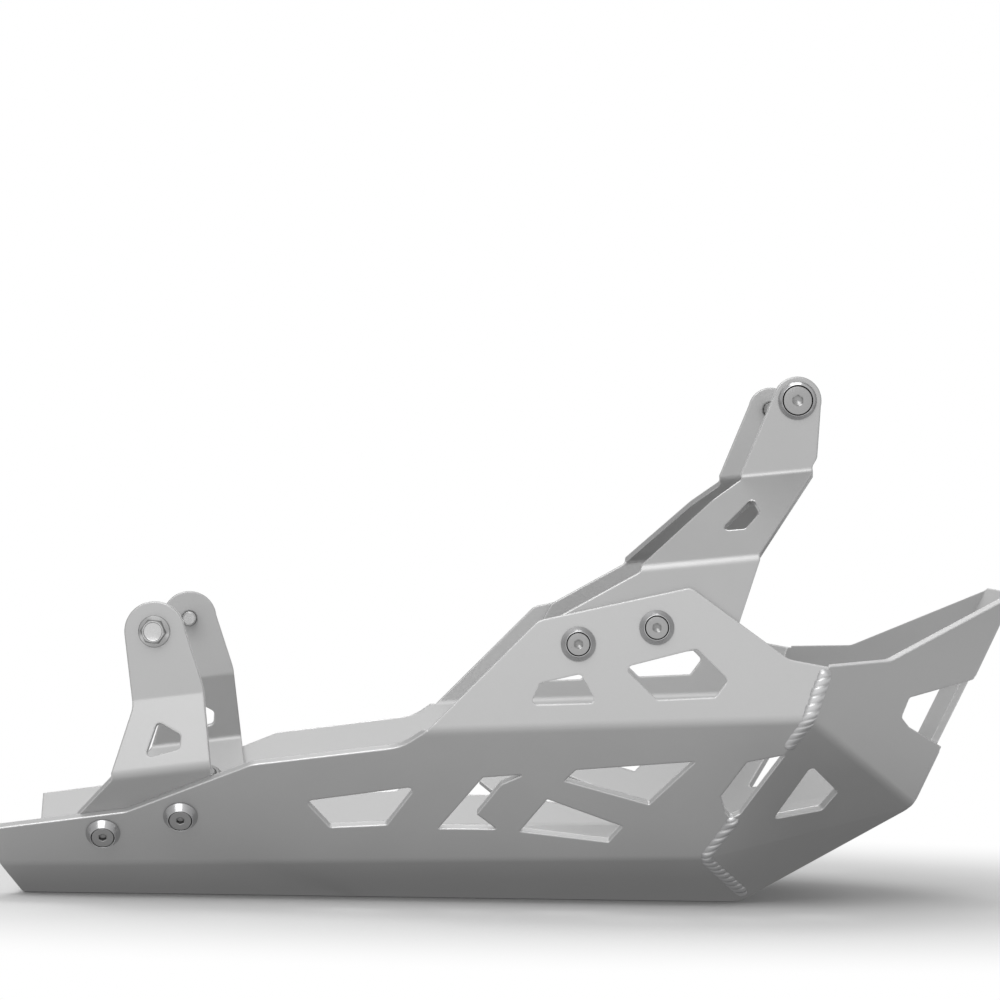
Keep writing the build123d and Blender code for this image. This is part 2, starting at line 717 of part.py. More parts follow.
front_seat = seat(front_lug, FRONT_BOLT)
cup_washer = dished_washer(
    front_seat, CUP_BASE, CUP_TOP, CUP_HEIGHT, CUP_EDGE, BOLT_DIAMETER, FRAME_SCREW_HEAD
)
frame_screw_top = CUP_HEIGHT - HEAD_DROP
frame_screw = countersunk_screw(
    front_seat,
    frame_screw_top,
    BRACKET_SHEET,
    BOLT_DIAMETER,
    FRAME_SCREW_HEAD,
    frame_screw_top + BRACKET_SHEET + BOLT_REACH,
    FRAME_SCREW_SOCKET,
    FRAME_SCREW_SOCKET_DEPTH,
)
stack = SHEET + BRACKET_SHEET
right_side = {
    "weld_bead": weld_bead.part,
    "rear_bracket": rear_part,
    "front_bracket": front_part,
    "rear_cone_washers": at_each(side_wall, REAR_SCREWS, 0, cone_washer),
    "rear_pan_screws": at_each(side_wall, REAR_SCREWS, 0, pan_screw),
    "rear_flange_nuts": at_each(side_wall, REAR_SCREWS, stack, flange_nut),
    "front_cone_washers": at_each(wing_wall, FRONT_SCREWS, 0, cone_washer),
    "front_pan_screws": at_each(wing_wall, FRONT_SCREWS, 0, pan_screw),
    "front_flange_nuts": at_each(wing_wall, FRONT_SCREWS, stack, flange_nut),
    "rear_frame_bolt": flange_bolt(seat(rear_lug, REAR_BOLT)),
    "front_cup_washer": cup_washer,
    "front_frame_screw": frame_screw,
}

# Write every piece, the right side and its mirror image on the left
os.makedirs("parts", exist_ok=True)
skid_pan.part.label = "skid_pan"
export_step(skid_pan.part, "parts/skid_pan.step")
for name, piece in right_side.items():
    with BuildPart() as right:
        add(piece)
    right.part.label = f"{name}_right"
    export_step(right.part, f"parts/{name}_right.step")
    with BuildPart() as left:
        mirror(piece, about=Plane.XZ)
    left.part.label = f"{name}_left"
    export_step(left.part, f"parts/{name}_left.step")
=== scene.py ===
"""Dresses the skid plate: satin sheet, rippled welds, turned and threaded fasteners, plain studio."""

import logging
import math
import random
from dataclasses import dataclass, field
from enum import Enum
from typing import Callable, Optional, Sequence, Union

import bpy
from mathutils import Matrix, Vector


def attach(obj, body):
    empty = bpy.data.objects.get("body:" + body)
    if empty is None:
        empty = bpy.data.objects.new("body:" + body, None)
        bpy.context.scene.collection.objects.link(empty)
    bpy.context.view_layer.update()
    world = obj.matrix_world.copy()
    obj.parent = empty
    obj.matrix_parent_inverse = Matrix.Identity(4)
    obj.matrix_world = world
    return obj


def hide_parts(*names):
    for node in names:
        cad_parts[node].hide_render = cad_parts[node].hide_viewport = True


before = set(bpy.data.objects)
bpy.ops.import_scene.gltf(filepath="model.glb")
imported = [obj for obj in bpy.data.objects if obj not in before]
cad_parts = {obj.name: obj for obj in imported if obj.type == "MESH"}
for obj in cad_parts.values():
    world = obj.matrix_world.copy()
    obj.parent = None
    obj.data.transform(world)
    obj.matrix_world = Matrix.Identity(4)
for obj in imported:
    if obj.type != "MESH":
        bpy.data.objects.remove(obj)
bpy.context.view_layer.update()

LOG = logging.getLogger("skid_plate")
Point = tuple[float, float, float]
Colour = tuple[float, float, float]
Span = tuple[float, float]
Profile = tuple[Span, ...]
Value = Union["Wire", float]

MM = 0.001
# Outer face of the wing, in millimetres
WING_Y = -173.416
# Angle in degrees from which an edge of a turned piece is not smoothed
TURNED_SHARP = 24.0
NOISE_MIDDLE = 0.5


class Side(Enum):
    """Side of the motorcycle that a piece belongs to."""

    RIGHT = 1
    LEFT = -1

    @property
    def word(self) -> str:
        """Ending of the names of this side's pieces."""
        return self.name.lower()

    def place(self, vector: Vector) -> Vector:
        """Carry a right-hand vector over to this side."""
        return Vector((vector.x, vector.y * self.value, vector.z))


class Slot(Enum):
    """Material slots of the record, one for each kind of new piece; they are handed on but not used."""

    WELD = "weld_metal"
    WASHER = "turned_washer"
    FASTENER = "fastener_steel"


class Wire:
    """Output socket that takes part in Python arithmetic."""

    def __init__(self, graph: "Graph", socket: bpy.types.NodeSocket) -> None:
        """Keep the socket and the graph that its sums go into."""
        self.graph = graph
        self.socket = socket

    def __add__(self, other: Value) -> "Wire":
        """Add a value."""
        return self.graph.math("ADD", self, other)

    def __radd__(self, other: Value) -> "Wire":
        """Add to a value."""
        return self.graph.math("ADD", other, self)

    def __sub__(self, other: Value) -> "Wire":
        """Take a value away."""
        return self.graph.math("SUBTRACT", self, other)

    def __rsub__(self, other: Value) -> "Wire":
        """Take from a value."""
        return self.graph.math("SUBTRACT", other, self)

    def __mul__(self, other: Value) -> "Wire":
        """Multiply by a value."""
        return self.graph.math("MULTIPLY", self, other)

    def __rmul__(self, other: Value) -> "Wire":
        """Multiply a value."""
        return self.graph.math("MULTIPLY", other, self)


class Graph:
    """Node tree of a material or the world, filled one node at a time."""

    SAMPLES = 6
    EDGE_BAND = (0.01, 0.16)
    OPEN_BAND = (0.25, 0.85)

    def __init__(self, tree: bpy.types.NodeTree) -> None:
        """Empty the tree and keep it."""
        tree.nodes.clear()
        self.tree = tree

    def node(
        self, kind: str, settings: Optional[dict] = None, sockets: Optional[dict] = None
    ) -> bpy.types.Node:
        """Add a node of any type.

        Args:
            kind: Blender's name of the node type.
            settings: properties, set before the sockets.
            sockets: values or wires, by the name or number of the input.

        Returns:
            The new node.
        """
        made = self.tree.nodes.new(kind)
        for name, value in (settings or {}).items():
            setattr(made, name, value)
        for name, value in (sockets or {}).items():
            self.feed(made.inputs[name], value)
        return made

    def feed(self, socket: bpy.types.NodeSocket, value: Union[Value, Sequence[float]]) -> None:
        """Link a wire to an input, or set the input's own value.

        Args:
            socket: the input.
            value: a wire, a number, or the parts of a colour or vector.
        """
        if isinstance(value, Wire):
            self.tree.links.new(value.socket, socket)
        else:
            socket.default_value = value

    def out(self, node: bpy.types.Node, output: Union[int, str] = 0) -> Wire:
        """Wire from one output of a node."""
        return Wire(self, node.outputs[output])

    def math(self, operation: str, *values: Value) -> Wire:
        """Wire from a Math node on up to three values."""
        return self.out(self.node("ShaderNodeMath", {"operation": operation}, dict(enumerate(values))))

    def mix(self, factor: Value, first: Union[Wire, Colour], second: Union[Wire, Colour]) -> Wire:
        """Blend two colours.

        Args:
            factor: share of the second colour.
            first: a colour or a wire that carries one.
            second: a colour or a wire that carries one.

        Returns:
            Wire with the blended colour.
        """
        ends = [end if isinstance(end, Wire) else (*end, 1.0) for end in (first, second)]
        node = self.node("ShaderNodeMix", {"data_type": "RGBA"}, {0: factor, 6: ends[0], 7: ends[1]})
        return self.out(node, 2)

    def figure(self, name: str) -> Wire:
        """Wire with a figure that the mesh carries on its vertices."""
        return self.out(self.node("ShaderNodeAttribute", {"attribute_name": name}), "Fac")

    def scaled_place(self, scale: float) -> Wire:
        """Position on the piece, in metres, times a scale."""
        place = self.out(self.node("ShaderNodeTexCoord"), "Object")
        return self.out(self.node("ShaderNodeVectorMath", {"operation": "SCALE"}, {0: place, "Scale": scale}))

    def noise(self, size: float, detail: float = 2.0, roughness: float = 0.5) -> Wire:
        """Cloudy noise between 0 and 1.

        Args:
            size: size of one cloud in millimetres.
            detail: octaves of finer noise.
            roughness: weight of the finer noise.

        Returns:
            Wire with the noise value.
        """
        place = self.scaled_place(1.0 / (size * MM))
        sockets = {"Vector": place, "Scale": 1.0, "Detail": detail, "Roughness": roughness}
        return self.out(self.node("ShaderNodeTexNoise", None, sockets))

    def band(self, value: Wire, low: float, high: float) -> Wire:
        """Smooth step of a value.

        Args:
            value: the value.
            low: where the step is still 0.
            high: where it reaches 1.

        Returns:
            Wire with the step.
        """
        settings = {"interpolation_type": "SMOOTHSTEP"}
        sockets = {"Value": value, "From Min": low, "From Max": high}
        return self.out(self.node("ShaderNodeMapRange", settings, sockets))

    def bump(self, height: Wire, depth: float, normal: Optional[Wire] = None) -> Wire:
        """Normal bent by a height between 0 and 1.

        Args:
            height: the height map.
            depth: real depth of the relief in millimetres.
            normal: the normal to bend, where it isn't the surface's own.

        Returns:
            Wire with the bent normal.
        """
        sockets = {"Distance": depth * MM, "Height": height}
        if normal:
            sockets["Normal"] = normal
        return self.out(self.node("ShaderNodeBump", None, sockets))

    def rounded_edge(self, radius: float) -> tuple[Wire, Wire]:
        """Normal that rounds every sharp edge.

        Args:
            radius: radius of the rounding in millimetres.

        Returns:
            Wire with the normal, and a mask that is 1 on the edges.
        """
        rounded = self.out(self.node("ShaderNodeBevel", {"samples": self.SAMPLES}, {"Radius": radius * MM}))
        own = self.out(self.node("ShaderNodeNewGeometry"), "Normal")
        match = self.node("ShaderNodeVectorMath", {"operation": "DOT_PRODUCT"}, {0: rounded, 1: own})
        return rounded, self.band(1 - self.out(match, "Value"), *self.EDGE_BAND)

    def crevice(self, reach: float) -> Wire:
        """Mask that is 1 deep in a crevice and 0 in the open.

        Args:
            reach: how far off, in millimetres, another surface still counts.

        Returns:
            Wire with the mask.
        """
        # Ambient occlusion; the finishes darken their colour by this mask, as painted shade in crevices
        near = self.node("ShaderNodeAmbientOcclusion", {"samples": self.SAMPLES}, {"Distance": reach * MM})
        return 1 - self.band(self.out(near, "AO"), *self.OPEN_BAND)


@dataclass(frozen=True)
class Finish:
    """Surface finish that becomes one material."""

    name: str
    colour: Colour
    roughness: float

    def material(self) -> bpy.types.Material:
        """Make the material, or find the one made before.

        Returns:
            The finish's material.
        """
        known = bpy.data.materials.get(self.name)
        if known:
            return known
        made = bpy.data.materials.new(self.name)
        made.use_nodes = True
        graph = Graph(made.node_tree)
        shader = graph.node("ShaderNodeBsdfPrincipled", None, {"Metallic": 1.0, **self.dress(graph)})
        graph.node("ShaderNodeOutputMaterial", None, {"Surface": graph.out(shader)})
        return made

    def dress(self, graph: Graph) -> dict[str, Wire]:
        """Wires for the shader's inputs; each finish has its own way."""
        raise NotImplementedError

    def tones(self, graph: Graph, amount: Wire, spread: float) -> Wire:
        """Colour that runs from a little darker to a little lighter than the finish.

        Args:
            graph: the material's graph.
            amount: where between darker and lighter, from 0 to 1.
            spread: share of the colour's brightness to either side.

        Returns:
            Wire with the colour.
        """
        darker = tuple(part * (1.0 - spread) for part in self.colour)
        lighter = tuple(min(1.0, part * (1.0 + spread)) for part in self.colour)
        return graph.mix(amount, darker, lighter)


@dataclass(frozen=True)
class BlastedSheet(Finish):
    """Sheet aluminium, blasted with fine beads: satin, with a soft grain and faint clouds."""

    cloud: float = 46.0
    cloud_tone: float = 0.8
    cloud_satin: float = 0.08
    grain: float = 0.55
    grain_tone: float = 0.2
    grain_satin: float = 0.10
    grain_depth: float = 0.010
    pit: float = 1.6
    pit_band: Span = (0.60, 0.72)
    pit_tone: float = 0.1
    pit_depth: float = 0.5
    tone_spread: float = 0.05
    # Rounding of the edges in millimetres, painted highlight on their colour, and their lower roughness
    edge: float = 1.5
    edge_highlight_gain: float = 1.5
    edge_polish: float = 0.28

    def dress(self, graph: Graph) -> dict[str, Wire]:
        """Grain, pits, clouds, and deburred edges with a painted highlight in their colour.

        Args:
            graph: the material's graph.

        Returns:
            Wires by the name of the shader's input.
        """
        clouds = graph.noise(self.cloud, detail=3.0, roughness=0.6)
        grain = graph.noise(self.grain, detail=1.0)
        pits = graph.band(graph.noise(self.pit, roughness=0.6), *self.pit_band)
        normal, edge = graph.rounded_edge(self.edge)
        tone = clouds * self.cloud_tone + grain * self.grain_tone - pits * self.pit_tone
        # Painted highlight: the edges' colour is lighter than the sheet's
        bright = tuple(min(1.0, part * self.edge_highlight_gain) for part in self.colour)
        satin = self.roughness + (clouds - NOISE_MIDDLE) * self.cloud_satin
        satin = satin + (grain - NOISE_MIDDLE) * self.grain_satin
        return {
            "Base Color": graph.mix(edge, self.tones(graph, tone, self.tone_spread), bright),
            "Roughness": satin - edge * self.edge_polish,
            "Normal": graph.bump(grain - pits * self.pit_depth, self.grain_depth, normal),
        }


@dataclass(frozen=True)
class RippledWeld(Finish):
    """Weld bead: bright on the ripples' crests, with painted shade in their valleys, which are also rougher.
    """

    grain: float = 0.35
    grain_satin: float = 0.12
    grain_depth: float = 0.012
    valley_shade_share: float = 0.84
    crest_band: Span = (0.0, 0.7)
    valley_satin: float = 0.16

    def dress(self, graph: Graph) -> dict[str, Wire]:
        """Ripples and a cast grain.

        Args:
            graph: the material's graph.

        Returns:
            Wires by the name of the shader's input.
        """
        crest = graph.figure("crest")
        grain = graph.noise(self.grain)
        # Painted shade: the colour darkens in the ripples' valleys
        painted_valley_shade = tuple(part * self.valley_shade_share for part in self.colour)
        satin = self.roughness + (1 - crest) * self.valley_satin
        return {
            "Base Color": graph.mix(graph.band(crest, *self.crest_band), painted_valley_shade, self.colour),
            "Roughness": satin + (grain - NOISE_MIDDLE) * self.grain_satin,
            "Normal": graph.bump(grain, self.grain_depth),
        }


@dataclass(frozen=True)
class TurnedMetal(Finish):
    """Metal turned in a lathe: fine tool lines that follow the profile, and painted shade in the corners."""

    feed_per_turn: float = 0.22
    line_tone: float = 0.3
    line_satin: float = 0.04
    line_depth: float = 0.004
    cloud: float = 5.0
    cloud_tone: float = 0.7
    cloud_satin: float = 0.10
    tone_spread: float = 0.05
    # Painted shade in corners: the share of the colour left there, and how far off in millimetres another
    # surface casts it
    dirt: float = 0.5
    shade: float = 1.5

    def dress(self, graph: Graph) -> dict[str, Wire]:
        """Tool lines, faint handling clouds and painted shade in the corners.

        Args:
            graph: the material's graph.

        Returns:
            Wires by the name of the shader's input.
        """
        lines = graph.math("SINE", graph.figure("run") * (math.tau / self.feed_per_turn)) * 0.5 + 0.5
        clouds = graph.noise(self.cloud)
        unshaded_colour = self.tones(graph, clouds * self.cloud_tone + lines * self.line_tone, self.tone_spread)
        # Painted shade: the colour darkens where ambient occlusion finds a crevice
        painted_shade_colour = tuple(part * self.dirt for part in self.colour)
        satin = self.roughness + (clouds - NOISE_MIDDLE) * self.cloud_satin
        return {
            "Base Color": graph.mix(graph.crevice(self.shade), unshaded_colour, painted_shade_colour),
            "Roughness": satin + lines * self.line_satin,
            "Normal": graph.bump(lines, self.line_depth),
        }


@dataclass(frozen=True)
class PlatedSteel(Finish):
    """Zinc-plated steel: satin and faintly mottled, with painted shade in sockets, threads and corners."""

    mottle: float = 1.3
    mottle_satin: float = 0.12
    tone_spread: float = 0.06
    grain: float = 0.18
    grain_depth: float = 0.003
    # Painted shade: the share of the colour left, its weight on marked rings, and its reach in millimetres
    # into crevices
    dirt: float = 0.35
    scale: float = 0.9
    shade: float = 2.5

    def dress(self, graph: Graph) -> dict[str, Wire]:
        """Mottled plating, with painted shade in hollows and on the rings that the mesh marks.

        Args:
            graph: the material's graph.

        Returns:
            Wires by the name of the shader's input.
        """
        mottle = graph.noise(self.mottle, detail=3.0, roughness=0.6)
        fine = graph.noise(self.grain, detail=1.0)
        # Painted shade in crevices and on the marked rings of a bolt
        painted_shade_mask = graph.math("MAXIMUM", graph.crevice(self.shade), graph.figure("painted_shade_rings") * self.scale)
        painted_shade_colour = tuple(part * self.dirt for part in self.colour)
        return {
            "Base Color": graph.mix(painted_shade_mask, self.tones(graph, mottle, self.tone_spread), painted_shade_colour),
            "Roughness": self.roughness + (mottle - NOISE_MIDDLE) * self.mottle_satin,
            "Normal": graph.bump(fine, self.grain_depth),
        }


PAN_FINISH = BlastedSheet("blasted_pan_sheet", (0.55, 0.55, 0.55), 0.56)
# The brackets are of the pan's sheet; their darker colours are painted shade
REAR_BRACKET_SHADED_FINISH = BlastedSheet("blasted_rear_bracket", (0.49, 0.49, 0.49), 0.52)
FRONT_BRACKET_SHADED_FINISH = BlastedSheet("blasted_front_bracket", (0.45, 0.45, 0.45), 0.40)
WELD_FINISH = RippledWeld("brushed_weld", (0.64, 0.64, 0.645), 0.36)
WASHER_FINISH = TurnedMetal("turned_aluminium", (0.54, 0.54, 0.545), 0.18)
STEEL_FINISH = PlatedSteel("plated_steel", (0.37, 0.37, 0.37), 0.30)
BOLT_FINISH = PlatedSteel("bright_plated_steel", (0.60, 0.60, 0.60), 0.26, dirt=0.22, shade=0.9)


@dataclass
class Skin:
    """Vertices, faces and one figure per vertex of a mesh in the making, in millimetres."""

    points: list[Vector] = field(default_factory=list)
    faces: list[tuple[int, ...]] = field(default_factory=list)
    figures: list[float] = field(default_factory=list)

    def add(self, other: "Skin", place: Matrix) -> None:
        """Take in another skin.

        Args:
            other: the skin to copy.
            place: where it goes, in millimetres.
        """
        start = len(self.points)
        self.points += [place @ point for point in other.points]
        self.faces += [tuple(start + corner for corner in face) for face in other.faces]
        self.figures += other.figures

    def object(self, name: str, finish: Finish, figure: str, sharp: float) -> bpy.types.Object:
        """Turn the skin into an object with its finish.

        Args:
            name: name of the piece.
            finish: finish of its whole surface.
            figure: name that the material knows the vertex figures by.
            sharp: angle in degrees from which an edge is not smoothed.

        Returns:
            The object, in metres, linked to the scene.
        """
        mesh = bpy.data.meshes.new(name)
        mesh.from_pydata([point * MM for point in self.points], [], self.faces)
        mesh.attributes.new(figure, "FLOAT", "POINT").data.foreach_set("value", self.figures)
        mesh.shade_smooth()
        mesh.set_sharp_from_angle(angle=math.radians(sharp))
        mesh.materials.append(finish.material())
        made = bpy.data.objects.new(name, mesh)
        bpy.context.scene.collection.objects.link(made)
        return made


class Turning:
    """Skin of rings round the Z axis, in order from the outer end's middle to the inner end's middle."""

    SPOKES = 48
    THREAD_DEPTH = 0.61
    THREAD_STEPS = 12.0
    THREAD_FADE = 0.6
    THREAD_ROOT = 0.2
    THREAD_FLANK = 0.66
    RUN_OUT = 0.01
    TIP_CHAMFER = 0.8

    def __init__(self) -> None:
        """Start with no rings."""
        self.rings: list[list[Span]] = []

    def circles(self, *stations: Span) -> None:
        """Add round rings, each of a radius and at a height."""
        for radius, height in stations:
            self.rings.append([(radius, height)] * self.SPOKES)

    def rounded(self, radius: float, height: float, profile: Profile) -> None:
        """Add round rings that break an edge, each some way in and down from it."""
        self.circles(*((radius - inset, height - drop) for inset, drop in profile))

    def form(self, radius: Callable[[float], float], height: Callable[[float], float]) -> None:
        """Add a ring whose radius and height change with the angle in radians."""
        angles = [math.tau * spoke / self.SPOKES for spoke in range(self.SPOKES)]
        self.rings.append([(radius(angle), height(angle)) for angle in angles])

    def hexagon(self, across: float, level: float, edge: float = 0.0, slope: float = 0.0) -> None:
        """Add a hexagonal ring, level or on a cone.

        Args:
            across: width across the flats.
            level: height of the ring, or of the cone at its edge.
            edge: radius of the cone's edge.
            slope: rise of the cone for each millimetre further in.
        """
        self.form(
            lambda angle: hexagon_radius(across, angle),
            lambda angle: level + (edge - hexagon_radius(across, angle)) * slope,
        )

    def thread(self, neck: float, start: float, end: float, radius: float, pitch: float) -> None:
        """Add the rings of a right-hand screw thread, inwards.

        Args:
            neck: radius of the plain shank before it.
            start: height where the thread begins.
            end: height of the tip, below the start.
            radius: radius at the crests.
            pitch: distance between crests.
        """
        self.circles((neck, start + self.RUN_OUT))
        depth = self.THREAD_DEPTH * pitch
        count = max(1, round((start - end) / (pitch / self.THREAD_STEPS)))
        for step in range(count + 1):
            level = start + (end - start) * step / count
            fade = min(1.0, (start - level) / (self.THREAD_FADE * pitch))
            limit = radius - max(0.0, self.TIP_CHAMFER - (level - end))

            def crest(angle: float) -> float:
                """Radius of the thread form.

                Args:
                    angle: direction in radians.

                Returns:
                    The radius there.
                """
                phase = abs(2.0 * ((level / pitch + angle / math.tau) % 1.0) - 1.0)
                rise = min(1.0, max(0.0, (phase - self.THREAD_ROOT) / self.THREAD_FLANK))
                return min(limit, radius - depth * fade * (1.0 - rise))

            self.form(crest, lambda angle: level)

    def skin(self, ringed: bool = False) -> Skin:
        """Join the rings.

        Args:
            ringed: whether the last ring joins the first, as round a bore.

        Returns:
            The closed skin, with the run along the profile as its figures.
        """
        made = Skin()
        run = 0.0
        last = self.rings[0][0]
        for ring in self.rings:
            run += math.dist(ring[0], last)
            last = ring[0]
            for spoke, (radius, height) in enumerate(ring):
                angle = math.tau * spoke / self.SPOKES
                made.points.append(Vector((radius * math.cos(angle), radius * math.sin(angle), height)))
                made.figures.append(run)
        count = len(self.rings)
        for ring in range(count if ringed else count - 1):
            inner = ring * self.SPOKES
            outer = (ring + 1) % count * self.SPOKES
            for spoke in range(self.SPOKES):
                after = (spoke + 1) % self.SPOKES
                made.faces.append((inner + spoke, outer + spoke, outer + after, inner + after))
        if not ringed:
            made.faces.append(tuple(range(self.SPOKES)))
            made.faces.append(tuple(range(count * self.SPOKES - 1, (count - 1) * self.SPOKES - 1, -1)))
        return made


def hexagon_radius(across: float, angle: float) -> float:
    """Distance from the middle of a hexagon to its edge.

    Args:
        across: width across the flats.
        angle: direction in radians, with a corner at 0.

    Returns:
        The distance, in the same unit as the width.
    """
    sixth = math.pi / 3.0
    return across / 2.0 / math.cos(angle % sixth - sixth / 2.0)


@dataclass(frozen=True)
class Seat:
    """Spot where a fastener bears on the right-hand sheet, in millimetres, and its way out."""

    spot: Vector
    outward: Vector
    turn: float = 0.0

    def matrix(self, side: Side, depth: float = 0.0) -> Matrix:
        """Frame of the seat with Z outwards.

        Args:
            side: side of the motorcycle.
            depth: how far below the seat the frame's origin lies.

        Returns:
            The frame, in millimetres.
        """
        axis = side.place(self.outward).normalized()
        spot = side.place(self.spot) - axis * depth
        across = Vector((0.0, 0.0, 1.0)).cross(axis).normalized()
        frame_axes = Matrix((across, axis.cross(across), axis)).transposed().to_4x4()
        return Matrix.Translation(spot) @ frame_axes @ Matrix.Rotation(math.radians(self.turn), 4, "Z")


@dataclass(frozen=True)
class Wall:
    """Leaning wall of the right-hand sheet: a point on it, its lean and its taper in degrees."""

    origin: Point
    lean: float
    taper: float = 0.0

    @property
    def outward(self) -> Vector:
        """Direction that the wall's outer face looks in.

        Returns:
            A unit vector.
        """
        lean = math.radians(self.lean)
        taper = math.radians(self.taper)
        return Vector((math.sin(taper) * math.cos(lean), -math.cos(taper) * math.cos(lean), -math.sin(lean)))

    def at(self, along: float, up: float) -> Vector:
        """Point on the wall.

        Args:
            along: distance forward from its origin.
            up: distance up its slope from its origin.

        Returns:
            The point in millimetres.
        """
        taper = math.radians(self.taper)
        forward = Vector((math.cos(taper), math.sin(taper), 0.0))
        return Vector(self.origin) + forward * along + self.outward.cross(forward) * up


CHAMFER_WALL = Wall((130.5, -72.997, 2.7), 63.0, 4.0)
SIDE_WALL = Wall((105.0, -122.589, 27.0), 34.0, 2.0)
WING_WALL = Wall((157.0, WING_Y, 105.0), 0.0)


@dataclass
class Sheetwork:
    """Pan and brackets: solids of the frame, which keep their shape and get the sheet's finish."""

    nodes: tuple[str, ...]
    finish: Finish

    def build(self) -> None:
        """Dress every solid and report it."""
        for name in self.nodes:
            self.dress(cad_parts[name])
            LOG.info("%s: %s", name, self.finish.name)

    def dress(self, solid: bpy.types.Object) -> None:
        """Give one solid the sheet's finish."""
        for slot in solid.material_slots:
            slot.material = self.finish.material()


@dataclass(frozen=True)
class Bead:
    """Form of one run of weld: its size, its ripples, how strongly they set in, and its drip."""

    radius: float
    sunk: float
    pitch: float
    ripple: float
    first: float
    growth: float
    drip: float = 0.0


